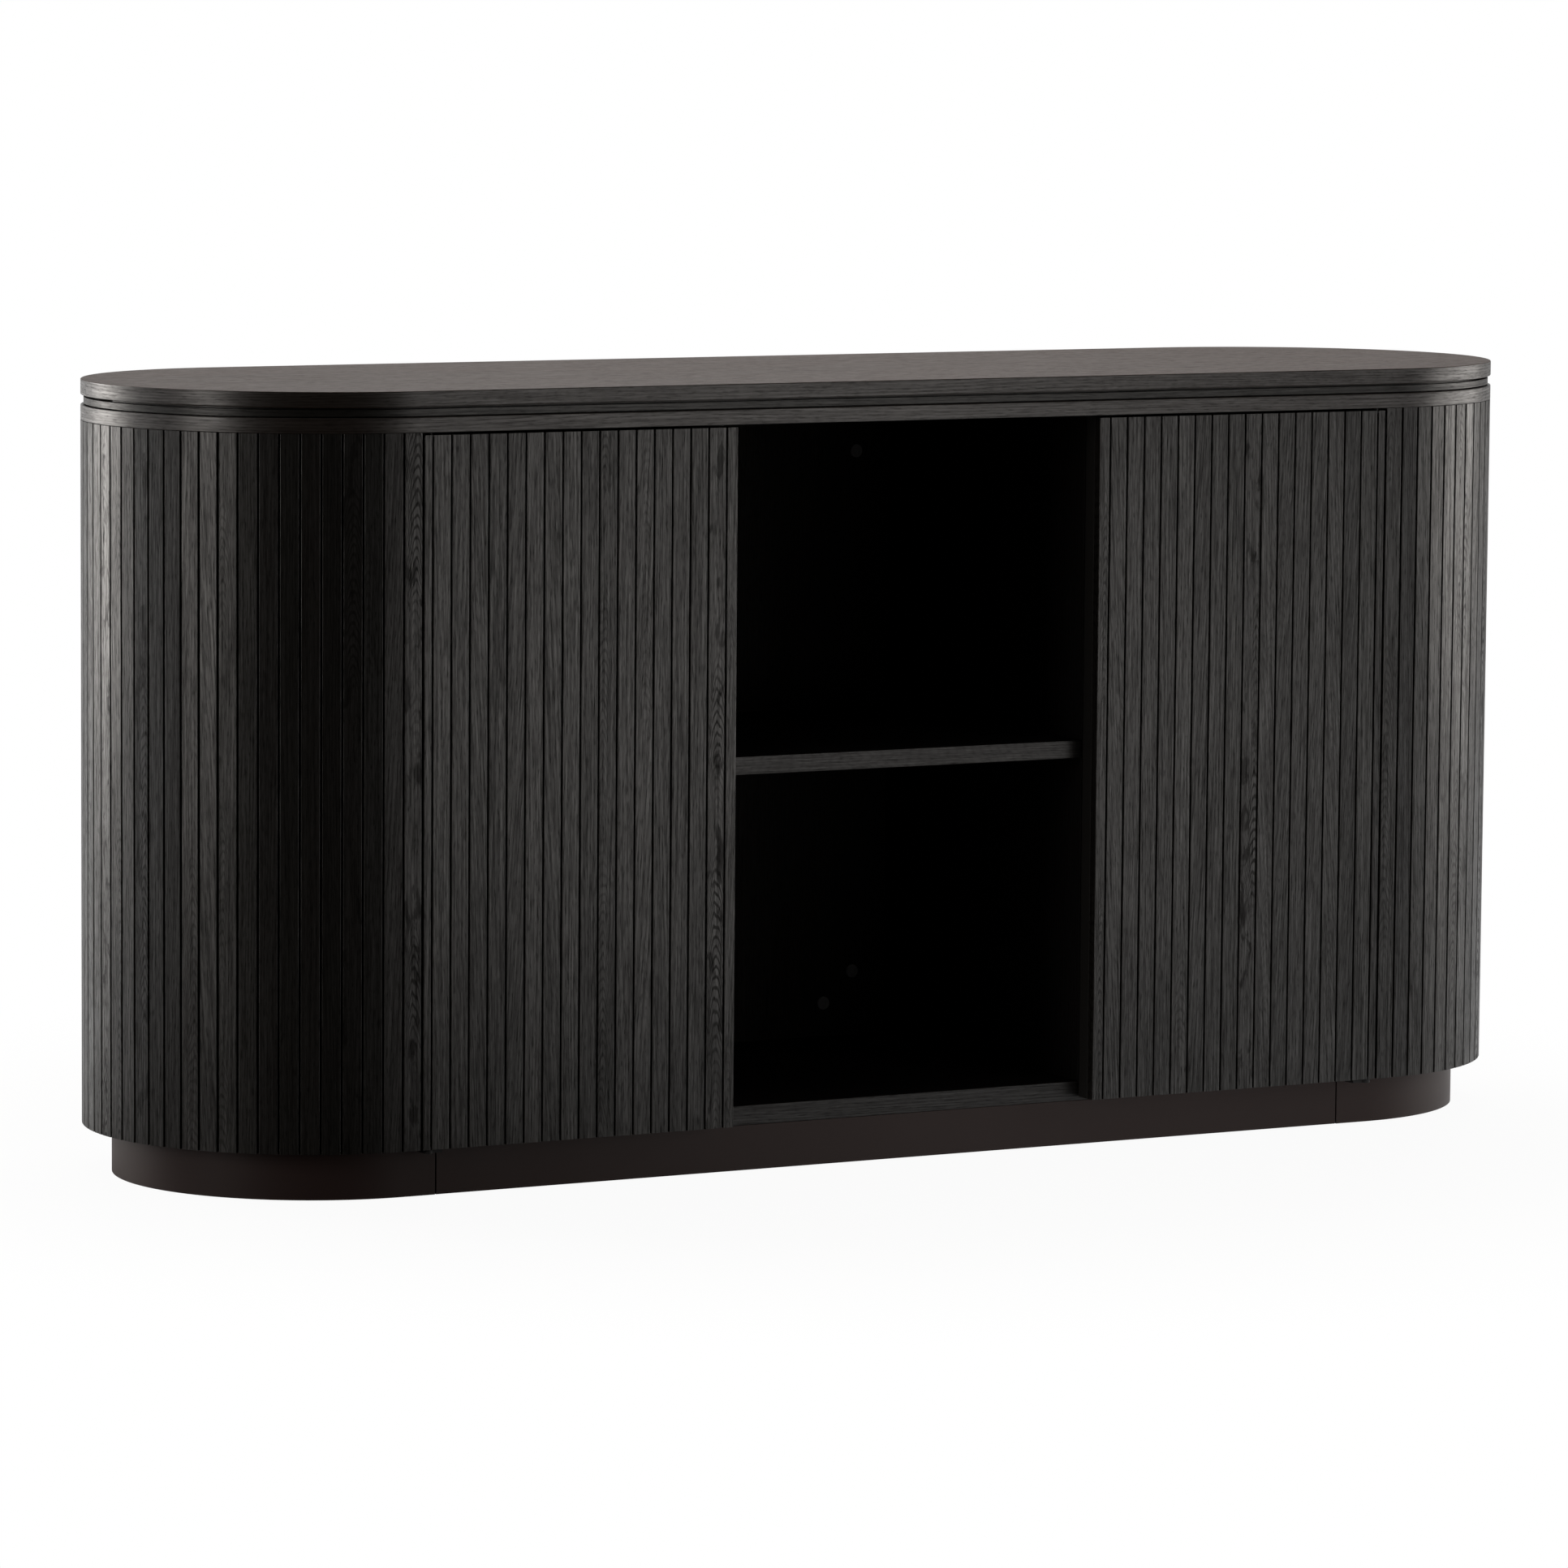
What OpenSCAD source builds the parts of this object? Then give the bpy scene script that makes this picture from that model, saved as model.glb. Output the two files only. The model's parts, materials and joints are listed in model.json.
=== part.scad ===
// Sideboard buffet with a racetrack plan. A carcass of boards carries two curved slatted ends, two
// slatted doors beside an open middle bay, a recessed plinth and a flat top over a recessed band.
// Millimetres. X runs along the length, the front faces -Y, and Z = 0 is the floor.

/* [Overall] */
// Length from one rounded end to the other
length = 1600; // [1450:10:2200]
// Depth, which is also the diameter of the rounded ends
depth = 466; // [420:2:560]
// Height from the floor to the top face
height = 800; // [700:5:1000]
// Clear width of the open middle bay
bay_w = 422; // [300:2:480]

/* [Top] */
// Thickness of the top panel
top_t = 15.5; // [14:0.5:30]
// Radius on the arrises of the top panel
top_round = 1; // [1:0.5:5]
// Thickness of the recessed spacer board under the top panel
spacer_t = 10; // [6:0.5:20]
// How far the spacer board stands in from the edge
spacer_inset = 3; // [2:1:20]
// Height of the shadow groove between the spacer board's edge and the top panel
upper_groove = 2.4; // [1.5:0.1:3]
// Height of the shadow groove between the spacer board's edge and the frieze
lower_groove = 1.2; // [1:0.1:2]
// Depth of both shadow grooves
groove_depth = 8; // [3:0.5:12]
// Thickness of the frieze board that crowns the carcass
frieze_t = 15.5; // [15:0.5:30]
// Radius on the arrises of the frieze board
frieze_round = 1; // [0.5:0.5:3]

/* [Boards] */
// Thickness of the upright boards
board_t = 19; // [18:1:25]
// Thickness of the floor board
floor_t = 20; // [18:1:30]
// Thickness of the shelves
shelf_t = 19; // [15:1:25]
// How far the cabinet shelves stand back from the front of the carcass
shelf_setback = 20; // [10:1:60]
// Thickness of the back panel
back_t = 12; // [8:1:18]

/* [Cladding] */
// Thickness of the slats
slat_t = 10; // [6:0.5:12]
// Distance from slat to slat
slat_pitch = 20.4; // [16:0.1:30]
// Open groove between two slats of a door
slat_gap = 1.7; // [1.5:0.1:4]
// Open groove between two slats of a fixed end, wider because the bend spreads it
end_gap = 2.2; // [1.5:0.1:4]
// Chamfer along the front edges of a slat
slat_chamfer = 0.4; // [0.3:0.1:1.5]
// Wall of the bent shell behind the slats of a fixed end
shell_t = 20; // [20:1:26]
// Straight run of a fixed end before its curve starts
end_straight = 7; // [5:1:40]
// Side of the battens that join a shell to its partition
batten_w = 20; // [15:1:30]

/* [Doors] */
// Gap between a door and the fixed end beside it
seam_gap = 2.5; // [2.2:0.1:4]
// Gap between the top of a door and the frieze
door_top_gap = 2.5; // [1.5:0.1:5]
// Gap between the back of a door and the carcass
door_back_gap = 2; // [2:0.1:4]

/* [Hinges] */
// Distance from the hinge edge of a door to the pivot
pivot_in = 8; // [7:0.1:9]
// Distance from the face of the slats back to the pivot
pivot_back = 5; // [4.6:0.1:6]
// Thickness of the hinge leaves
leaf_t = 2.5; // [2:0.1:4]
// Length of the hinge leaves
leaf_len = 60; // [50:1:80]
// Width of the hinge leaves
leaf_w = 12; // [11:0.5:14]
// Radius of the eye around the pivot
eye_r = 4.2; // [3.6:0.1:4.4]
// Diameter of the hinge pins
pin_d = 4; // [3:0.1:4.6]
// Thickness of the bottom brackets
bracket_t = 3; // [2.5:0.1:3.5]
// Length of the bottom brackets behind the pivot
bracket_len = 60; // [54:1:64]

/* [Latches] */
// Distance of the push latches below the frieze
latch_drop = 120; // [80:5:240]
// Diameter of the latch housings
latch_d = 10; // [9:0.5:12]
// Length of the latch housings
latch_len = 45; // [40:1:60]
// Diameter of the latch plungers
plunger_d = 6; // [5:0.1:7]
// Travel of the latch plungers
plunger_travel = 1.5; // [1:0.1:2]
// Diameter of the strike discs on the doors
strike_d = 16; // [12:1:20]
// Thickness of the strike discs
strike_t = 1.2; // [1:0.1:2]

/* [Plinth] */
// Height of the floor board's underside above the floor
plinth_h = 48; // [44:1:120]
// Thickness of the plinth boards
plinth_t = 18; // [18:1:25]
// Straight run of a curved plinth piece before its curve starts
plinth_return = 37; // [30:1:60]
// Open seam between two plinth pieces
plinth_gap = 1.6; // [0.5:0.1:2]
// How far the slats stop above the plinth
skirt_lift = 4; // [3.6:0.1:5]
// Length of the glue blocks
block_len = 60; // [40:1:80]
// Width of the glue blocks
block_w = 30; // [24:1:40]
// Diameter of the glides
glide_d = 16; // [12:1:17]
// Thickness of the glides
glide_t = 2; // [2:0.5:4]

/* [Fittings] */
// Diameter of the long carcass screws
screw_d = 5; // [4:0.5:6]
// How far a carcass screw reaches into the board behind the joint
screw_bite = 35; // [25:1:45]
// Diameter of the small screws
small_d = 3; // [2.5:0.1:3.5]
// Length of the small screws
small_len = 13; // [12:1:15]
// Diameter of the dowels
dowel_d = 8; // [6:1:10]
// Length of the dowels
dowel_len = 30; // [24:1:40]
// Diameter of the shelf pins
shelf_pin_d = 5; // [4:0.5:6]
// How far a shelf pin sits in its hole, and stands out of it
shelf_pin_half = 9; // [7:1:12]
// Distance between shelf pin holes
pin_pitch = 32; // [25:1:40]
// Diameter of the cover caps on the back panel of the bay
cap_d = 14; // [10:1:18]
// Thickness of the cover caps
cap_t = 1.5; // [1:0.1:3]

/* [Hidden] */
$fn = 64;

// Clearances
edge_fit = 0.1;     // a curved edge against the wall that wraps it
part_fit = 0.1;     // a fitting in the recess cut for it
run_fit = 0.05;     // a pin or plunger in its bore, on the radius
strike_gap = 0.3;   // a latch plunger in front of its strike
spring_room = 3;    // behind a pressed plunger, for its spring
shelf_side_gap = 1; // a loose shelf beside its uprights
shelf_back_gap = 2; // a loose shelf in front of the back panel

// Plan
end_r = depth / 2;
tangent_x = length / 2 - end_r;
base_inset = slat_t + shell_t;
carcass_y = end_r - base_inset;
seam_x = tangent_x - end_straight;
edge_x = seam_x + seam_gap / 2;
door_edge_x = seam_x - seam_gap / 2;
bay_x = bay_w / 2;
divider_x = bay_x + board_t;
partition_x = edge_x - board_t;

// Levels
floor_top = plinth_h + floor_t;
skirt_z = plinth_h + skirt_lift;
frieze_z = height - top_t - spacer_t - frieze_t;
spacer_z = frieze_z + frieze_t;
top_z = spacer_z + spacer_t;
door_top = frieze_z - door_top_gap;
shelf_z = (floor_top + frieze_z - shelf_t) / 2;

// Doors
door_panel_t = shell_t - door_back_gap;
door_panel_y = end_r - slat_t;
door_back_y = door_panel_y - door_panel_t;
slat_w = slat_pitch - slat_gap;
first_groove_x = seam_x - slat_pitch / 2;
door_slats = floor((first_groove_x - bay_x - 0.4 * slat_pitch) / slat_pitch);
last_groove_x = first_groove_x - door_slats * slat_pitch;

// Fixed ends
end_lead = tangent_x - edge_x;
end_path = 2 * end_lead + PI * end_r;
end_slats = 2 * round(end_path / (2 * slat_pitch));
end_pitch = (end_path + end_gap) / end_slats;
end_slat_w = end_pitch - end_gap;
end_face_r = sqrt(pow(end_r, 2) - pow(end_slat_w / 2, 2));

// Hinges
pivot_x = door_edge_x - pivot_in;
pivot_y = -(end_r - pivot_back);
leaf_y = slat_t + door_panel_t / 2 - leaf_w / 2 - pivot_back;
leaf_screw_x = [16, leaf_len - 14];
bracket_w = 20;
bracket_screw_y = [bracket_len - 26, bracket_len - 10];
washer_r = 4;

// Latches
latch_x = bay_x + board_t / 2;
latch_z = frieze_z - latch_drop;
flange_r = latch_d / 2 + 1.5;
flange_t = 1;
plunger_bore = latch_len - 5;
plunger_out = door_back_gap - strike_gap;
plunger_len = plunger_out + plunger_bore - plunger_travel - spring_room;

// Screws
head_r = 4.5;
head_t = 2.6;
small_head_r = 3;
small_head_t = 1.5;
top_bite = top_t - 5;
row_y = carcass_y - 50;
cabinet_x = (divider_x + partition_x) / 2;
wall_z = [floor_top + 60, (floor_top + frieze_z) / 2, frieze_z - 60];
board_mid_x = [bay_x + board_t / 2, partition_x + board_t / 2];
end_block_reach = sqrt(pow(carcass_y - plinth_t, 2) - pow(block_len / 2, 2));
end_block_x = tangent_x + end_block_reach - block_w / 2 - edge_fit;
corner_block_x = tangent_x - plinth_return;
block_screw_x = corner_block_x - block_len / 4;
block_y = carcass_y - plinth_t - block_w / 2;
cap_stem_r = 2.6;
cap_dimple_r = 3;
cap_places = [[bay_x - 40, frieze_z - 61], [bay_x - 40, floor_top + 69], [bay_x - 75, floor_top + 36]];

// Colours
stained_oak = "#34302d";
dark_oak = "#262220";
black_steel = "#2a2b2d";
zinc = "#b9bbbd";
grey_nylon = "#6c6e70";
beech = "#c9a77a";

// ---- shared shapes ----

// Everything is drawn for the right-hand side, and mirrored for the left.
module side(s) {
  if (s < 0) mirror([1, 0, 0]) children();
  else children();
}

module both_sides() {
  for (s = [-1, 1]) side(s) children();
}

module racetrack(r) {
  square([2 * tangent_x, 2 * r], center = true);
  for (s = [-1, 1]) translate([s * tangent_x, 0]) circle(r, $fn = 180);
}

module racetrack_board(r, z, t) {
  translate([0, 0, z]) linear_extrude(t) racetrack(r);
}

// The wall between two racetracks on the right of x0
module end_wall(r_out, r_in, x0) {
  difference() {
    racetrack(r_out);
    racetrack(r_in);
    translate([x0 - length, -depth]) square([length, 2 * depth]);
  }
}

// Half the section of a full-size board, from the middle out to its rounded arrises
module eased_section(t, ease) {
  translate([0, ease]) square([end_r, t - 2 * ease]);
  square([end_r - ease, t]);
  for (y = [ease, t - ease]) translate([end_r - ease, y]) circle(ease, $fn = 32);
}

// Half the section of the spacer board, with a shadow groove above and below its edge
module grooved_section(r, t) {
  square([r - groove_depth, t]);
  translate([0, lower_groove]) square([r, t - lower_groove - upper_groove]);
}

// A racetrack board swept from half its section
module swept_board(z) {
  translate([0, 0, z]) union() {
    for (s = [-1, 1]) translate([s * tangent_x, 0, 0]) rotate([0, 0, s * 90 + 180])
      rotate_extrude(angle = 180, $fn = 180) children();
    translate([-tangent_x, 0, 0]) rotate([90, 0, 90]) linear_extrude(2 * tangent_x) {
      children();
      mirror([1, 0]) children();
    }
  }
}

// One slat's section: its back lies on y = 0 and its face on y = -t
module slat_section(w, t) {
  c = slat_chamfer;
  polygon([[-w / 2, 0], [-w / 2, c - t], [c - w / 2, -t], [w / 2 - c, -t], [w / 2, c - t], [w / 2, 0]]);
}

// Puts a section at a distance s along the outside of a fixed end, facing outwards
module along_end(s) {
  front_run = min(s - end_lead, 0);
  back_run = max(s - end_lead - PI * end_r, 0);
  turn = min(max(s - end_lead, 0), PI * end_r) / end_r * 180 / PI;
  translate([tangent_x + front_run - back_run, 0]) rotate(turn) translate([0, -(end_r - slat_t)])
    children();
}

// A countersunk screw that points up from its head at z = 0
module screw(d, len, r, t, grow = 0) {
  rotate_extrude($fn = 32)
    polygon([[0, -grow], [r + grow, -grow], [d / 2 + grow, t], [d / 2 + grow, len + grow], [0, len + grow]]);
}

module long_screw(len, grow = 0) {
  screw(screw_d, len, head_r, head_t, grow);
}

module small_screw(grow = 0) {
  screw(small_d, small_len, small_head_r, small_head_t, grow);
}

// ---- hinge shapes, around the pivot of the right door ----

// The offset leaf: an eye at the pivot and a body behind it that runs towards the bay
module leaf_outline(grow = 0) {
  circle(eye_r + grow);
  translate([-eye_r - grow, 0]) square([2 * (eye_r + grow), leaf_y + leaf_w / 2]);
  translate([eye_r - leaf_len - grow, leaf_y - grow]) square([leaf_len + 2 * grow, leaf_w + 2 * grow]);
}

module leaf(z) {
  translate([pivot_x, pivot_y, z]) linear_extrude(leaf_t) leaf_outline();
}

// The recess for a leaf whose open face is at z; it is cut upwards or downwards
module leaf_recess(z, up) {
  translate([pivot_x, pivot_y, z]) mirror([0, 0, up ? 0 : 1]) translate([0, 0, -1])
    linear_extrude(1 + leaf_t + part_fit) leaf_outline(part_fit);
}

module bracket_outline(grow = 0) {
  circle(eye_r + grow);
  translate([eye_r - bracket_w - grow, 0]) square([bracket_w + 2 * grow, bracket_len + grow]);
}

module pin_bore(z, t) {
  translate([pivot_x, pivot_y, z - 1]) cylinder(h = t + 2, r = pin_d / 2 + run_fit);
}

// Screws through a leaf: up from its underside, or down from its top
module leaf_screws(z, up, grow = 0) {
  for (x = leaf_screw_x)
    translate([pivot_x - x, pivot_y + leaf_y + leaf_w / 2, z]) mirror([0, 0, up ? 0 : 1]) small_screw(grow);
}

module bracket_screws(grow = 0) {
  for (y = bracket_screw_y)
    translate([pivot_x + eye_r - bracket_w / 2, pivot_y + y, plinth_h]) small_screw(grow);
}

module door_leaf_screws(grow = 0) {
  leaf_screws(door_top, false, grow);
  leaf_screws(skirt_z, true, grow);
}

module door_leaf_recess() {
  leaf_recess(door_top, false);
  leaf_recess(skirt_z, true);
}

// ---- fastener positions ----

module at_top_screws() {
  for (x = [cabinet_x, bay_x * 0.6], y = [-row_y, row_y]) both_sides() translate([x, y, frieze_z]) children();
  both_sides() translate([tangent_x + end_r / 2, 0, frieze_z]) children();
}

module at_uprights() {
  for (x = board_mid_x, y = [-row_y, 0, row_y]) both_sides() translate([x, y, 0]) children();
}

module at_back_screws() {
  y = carcass_y + back_t;
  for (x = board_mid_x, z = wall_z) both_sides() translate([x, y, z]) rotate([90, 0, 0]) children();
  for (x = [-cabinet_x, 0, cabinet_x])
    translate([x, y, plinth_h + floor_t / 2]) rotate([90, 0, 0]) children();
}

module at_plinth_screws() {
  for (y = [-block_y, block_y]) both_sides() translate([block_screw_x, y, floor_top]) children();
  both_sides() translate([end_block_x, 0, floor_top]) children();
}

module at_dowels() {
  for (y = [-row_y, row_y]) both_sides()
    translate([bay_x - dowel_len * 0.6, y, shelf_z + shelf_t / 2]) rotate([0, 90, 0]) children();
}

module at_caps() {
  for (p = cap_places) both_sides() translate([p[0], carcass_y, p[1]]) rotate([90, 0, 0]) children();
}

// Holes for the shelf pins in the cabinet face of an upright that looks along dir
module pin_holes(face_x, dir) {
  for (n = [-2 : 2], y = [-row_y, row_y])
    translate([face_x, y, shelf_z - shelf_pin_d / 2 + n * pin_pitch]) rotate([0, -90 * dir, 0])
      translate([0, 0, -1]) cylinder(h = shelf_pin_half + 1.5, d = shelf_pin_d + 2 * run_fit);
}

module shelf_pin(face_x, dir, y) {
  translate([face_x - dir * shelf_pin_half, y, shelf_z - shelf_pin_d / 2]) rotate([0, 90 * dir, 0])
    cylinder(h = 2 * shelf_pin_half, d = shelf_pin_d);
}

// ---- top and carcass ----

module top_panel() {
  color(stained_oak) difference() {
    swept_board(top_z) eased_section(top_t, top_round);
    at_top_screws() long_screw(frieze_t + spacer_t + top_bite, part_fit);
  }
}

module spacer_board() {
  color(stained_oak) difference() {
    swept_board(spacer_z) grooved_section(end_r - spacer_inset, spacer_t);
    at_top_screws() long_screw(frieze_t + spacer_t + top_bite, part_fit);
  }
}

module frieze_board() {
  color(stained_oak) difference() {
    swept_board(frieze_z) eased_section(frieze_t, frieze_round);
    at_top_screws() long_screw(frieze_t + spacer_t + top_bite, part_fit);
    at_uprights() upper_screw(part_fit);
    both_sides() {
      leaf_recess(frieze_z, true);
      leaf_screws(frieze_z, true, part_fit);
    }
  }
}

module floor_board() {
  color(stained_oak) difference() {
    racetrack_board(carcass_y - edge_fit, plinth_h, floor_t);
    at_uprights() lower_screw(part_fit);
    at_plinth_screws() mirror([0, 0, 1]) long_screw(floor_t + screw_bite, part_fit);
    at_back_screws() long_screw(back_t + screw_bite, part_fit);
    both_sides() {
      translate([pivot_x, pivot_y, plinth_h - 1]) linear_extrude(1 + bracket_t + part_fit)
        bracket_outline(part_fit);
      bracket_screws(part_fit);
    }
  }
}

module back_panel() {
  color(stained_oak) difference() {
    translate([-edge_x, carcass_y, skirt_z]) cube([2 * edge_x, back_t, frieze_z - skirt_z]);
    at_back_screws() long_screw(back_t + screw_bite, part_fit);
    at_caps() translate([0, 0, -back_t - 1]) cylinder(h = back_t + 2, r = cap_stem_r + run_fit);
  }
}

// An upright board that starts at x, drilled for everything that fastens it
module upright(x) {
  difference() {
    translate([x, -carcass_y, floor_top]) cube([board_t, 2 * carcass_y, frieze_z - floor_top]);
    at_uprights() {
      upper_screw(part_fit);
      lower_screw(part_fit);
    }
    at_back_screws() long_screw(back_t + screw_bite, part_fit);
    children();
  }
}

module divider() {
  color(stained_oak) upright(bay_x) {
    pin_holes(divider_x, 1);
    at_dowels() cylinder(h = dowel_len + part_fit, d = dowel_d + 2 * part_fit);
    latch_recess();
  }
}

module partition() {
  color(stained_oak) upright(partition_x) pin_holes(partition_x, -1);
}

module middle_shelf() {
  color(stained_oak) difference() {
    translate([-bay_x, -carcass_y, shelf_z]) cube([bay_w, 2 * carcass_y, shelf_t]);
    at_dowels() translate([0, 0, -part_fit]) cylinder(h = dowel_len, d = dowel_d + 2 * part_fit);
  }
}

// A loose shelf that rests on its four pins
module cabinet_shelf() {
  x = divider_x + shelf_side_gap;
  color(stained_oak) translate([x, shelf_setback - carcass_y, shelf_z])
    cube([partition_x - shelf_side_gap - x, 2 * carcass_y - shelf_setback - shelf_back_gap, shelf_t]);
}

// ---- fixed ends ----

module end_shell() {
  color(dark_oak) translate([0, 0, skirt_z]) linear_extrude(frieze_z - skirt_z)
    end_wall(end_r - slat_t, carcass_y, edge_x);
}

module end_slats_group() {
  color(stained_oak) translate([0, 0, skirt_z]) linear_extrude(frieze_z - skirt_z)
    for (k = [0 : end_slats - 1]) along_end(end_slat_w / 2 + k * end_pitch)
      slat_section(end_slat_w, end_face_r - (end_r - slat_t));
}

module end_battens() {
  color(dark_oak) translate([0, 0, floor_top]) linear_extrude(frieze_z - floor_top)
    for (s = [-1, 1]) intersection() {
      racetrack(carcass_y - edge_fit);
      translate([edge_x, s * (carcass_y - batten_w / 2) - batten_w / 2]) square(batten_w);
    }
}

// ---- doors ----

module door_panel() {
  h = door_top - skirt_z;
  color(dark_oak) difference() {
    translate([bay_x, -door_panel_y, skirt_z]) cube([door_edge_x - bay_x, door_panel_t, h]);
    door_leaf_recess();
    door_leaf_screws(part_fit);
    strike(part_fit);
  }
}

module door_slats_group() {
  outer_w = door_edge_x - first_groove_x - slat_gap / 2;
  inner_w = last_groove_x - slat_gap / 2 - bay_x;
  color(stained_oak) difference() {
    translate([0, -door_panel_y, skirt_z]) linear_extrude(door_top - skirt_z) {
      translate([door_edge_x - outer_w / 2, 0]) slat_section(outer_w, slat_t);
      translate([bay_x + inner_w / 2, 0]) slat_section(inner_w, slat_t);
      for (k = [1 : door_slats])
        translate([first_groove_x - (k - 0.5) * slat_pitch, 0]) slat_section(slat_w, slat_t);
    }
    door_leaf_recess();
  }
}

// ---- hinges ----

module hinge_plate() {
  color(black_steel) difference() {
    leaf(frieze_z);
    pin_bore(frieze_z, leaf_t);
    leaf_screws(frieze_z, true, part_fit);
  }
}

module hinge_bracket() {
  color(black_steel) difference() {
    translate([pivot_x, pivot_y, plinth_h]) linear_extrude(bracket_t) bracket_outline();
    pin_bore(plinth_h, bracket_t);
    bracket_screws(part_fit);
  }
}

module hinge_pins() {
  color(zinc) translate([pivot_x, pivot_y, 0]) {
    translate([0, 0, door_top - leaf_t]) cylinder(h = frieze_z + leaf_t - door_top + leaf_t, d = pin_d);
    translate([0, 0, plinth_h]) cylinder(h = skirt_lift + leaf_t, d = pin_d);
  }
}

module hinge_washer() {
  color(grey_nylon) translate([pivot_x, pivot_y, plinth_h + bracket_t]) difference() {
    cylinder(h = skirt_lift - bracket_t - part_fit, r = washer_r);
    translate([0, 0, -1]) cylinder(h = skirt_lift + 2, r = pin_d / 2 + run_fit);
  }
}

module hinge_leaves() {
  color(black_steel) difference() {
    union() {
      leaf(door_top - leaf_t);
      leaf(skirt_z);
    }
    pin_bore(door_top - leaf_t, leaf_t);
    pin_bore(skirt_z, leaf_t);
    door_leaf_screws(part_fit);
  }
}

// ---- push latches, in the front edge of the dividers ----

module at_latch() {
  translate([latch_x, -carcass_y, latch_z]) rotate([-90, 0, 0]) children();
}

module latch_recess() {
  at_latch() {
    translate([0, 0, -1]) cylinder(h = flange_t + 1 + part_fit, r = flange_r + part_fit);
    cylinder(h = latch_len + part_fit, r = latch_d / 2 + part_fit);
  }
}

module latch_housing() {
  color(grey_nylon) at_latch() difference() {
    union() {
      cylinder(h = flange_t, r = flange_r);
      cylinder(h = latch_len, d = latch_d);
    }
    translate([0, 0, -1]) cylinder(h = 1 + plunger_bore, r = plunger_d / 2 + run_fit);
  }
}

module latch_plunger() {
  color(black_steel) at_latch() translate([0, 0, -plunger_out]) cylinder(h = plunger_len, d = plunger_d);
}

// The steel disc let into the back of a door
module strike(grow = 0) {
  translate([latch_x, grow - door_back_y, latch_z]) rotate([90, 0, 0])
    cylinder(h = strike_t + 2 * grow, d = strike_d + 2 * grow);
}

// ---- plinth ----

module straight_plinth() {
  x = tangent_x - plinth_return - plinth_gap / 2;
  color(dark_oak) translate([-x, -carcass_y, glide_t]) cube([2 * x, plinth_t, plinth_h - glide_t]);
}

module curved_plinth() {
  color(dark_oak) translate([0, 0, glide_t]) linear_extrude(plinth_h - glide_t)
    end_wall(carcass_y, carcass_y - plinth_t, tangent_x - plinth_return + plinth_gap / 2);
}

module plinth_stretchers() {
  y = carcass_y - plinth_t;
  color(dark_oak) both_sides() translate([bay_x, -y, glide_t]) cube([board_t, 2 * y, plinth_h - glide_t]);
}

module plinth_blocks() {
  h = plinth_h - glide_t;
  color(dark_oak) difference() {
    union() {
      for (y = [-block_y, block_y]) both_sides()
        translate([corner_block_x, y, glide_t + h / 2]) cube([block_len, block_w, h], center = true);
      both_sides() translate([end_block_x, 0, glide_t + h / 2]) cube([block_w, block_len, h], center = true);
    }
    at_plinth_screws() mirror([0, 0, 1]) long_screw(floor_t + screw_bite, part_fit);
  }
}

module glides() {
  ends = [for (s = [-1, 1]) [s * end_block_x, 0]];
  sides = [for (x = [corner_block_x, bay_x + board_t / 2], s = [-1, 1], t = [-1, 1]) [s * x, t * block_y]];
  color(grey_nylon) for (place = concat(ends, sides))
    translate([place[0], place[1], 0]) cylinder(h = glide_t, d = glide_d);
}

// ---- fasteners ----

module upper_screw(grow = 0) {
  translate([0, 0, spacer_z]) mirror([0, 0, 1]) long_screw(frieze_t + screw_bite, grow);
}

module lower_screw(grow = 0) {
  translate([0, 0, plinth_h]) long_screw(floor_t + screw_bite, grow);
}

module top_screws() {
  color(zinc) at_top_screws() long_screw(frieze_t + spacer_t + top_bite);
}

module carcass_screws() {
  color(zinc) at_uprights() {
    upper_screw();
    lower_screw();
  }
}

module back_screws() {
  color(zinc) at_back_screws() long_screw(back_t + screw_bite);
}

module plinth_screws() {
  color(zinc) at_plinth_screws() mirror([0, 0, 1]) long_screw(floor_t + screw_bite);
}

module hinge_screws() {
  color(zinc) both_sides() {
    leaf_screws(frieze_z, true);
    bracket_screws();
  }
}

module dowels() {
  color(beech) at_dowels() cylinder(h = dowel_len, d = dowel_d);
}

module shelf_pins() {
  color(zinc) for (y = [-row_y, row_y]) both_sides() {
    shelf_pin(divider_x, 1, y);
    shelf_pin(partition_x, -1, y);
  }
}

module back_caps() {
  color(grey_nylon) at_caps() difference() {
    union() {
      cylinder(h = cap_t, d = cap_d);
      translate([0, 0, -back_t + 1]) cylinder(h = back_t, r = cap_stem_r);
    }
    translate([0, 0, cap_t / 2]) cylinder(h = cap_t, r = cap_dimple_r);
  }
}

top_panel();
spacer_board();
frieze_board();
floor_board();
back_panel();
side(-1) divider();  // left_divider
side(1) divider();  // right_divider
side(-1) partition();  // left_partition
side(1) partition();  // right_partition
middle_shelf();
side(-1) cabinet_shelf();  // left_shelf
side(1) cabinet_shelf();  // right_shelf
side(-1) end_shell();  // left_end_shell
side(1) end_shell();  // right_end_shell
side(-1) end_slats_group();  // left_end_slats
side(1) end_slats_group();  // right_end_slats
side(-1) end_battens();  // left_end_battens
side(1) end_battens();  // right_end_battens
side(-1) door_panel();  // left_door_panel
side(1) door_panel();  // right_door_panel
side(-1) door_slats_group();  // left_door_slats
side(1) door_slats_group();  // right_door_slats
side(-1) hinge_plate();  // left_hinge_plate
side(1) hinge_plate();  // right_hinge_plate
side(-1) hinge_bracket();  // left_hinge_bracket
side(1) hinge_bracket();  // right_hinge_bracket
side(-1) hinge_pins();  // left_hinge_pins
side(1) hinge_pins();  // right_hinge_pins
side(-1) hinge_washer();  // left_hinge_washer
side(1) hinge_washer();  // right_hinge_washer
side(-1) hinge_leaves();  // left_hinge_leaves
side(1) hinge_leaves();  // right_hinge_leaves
side(-1) color(zinc) door_leaf_screws();  // left_leaf_screws
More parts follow.
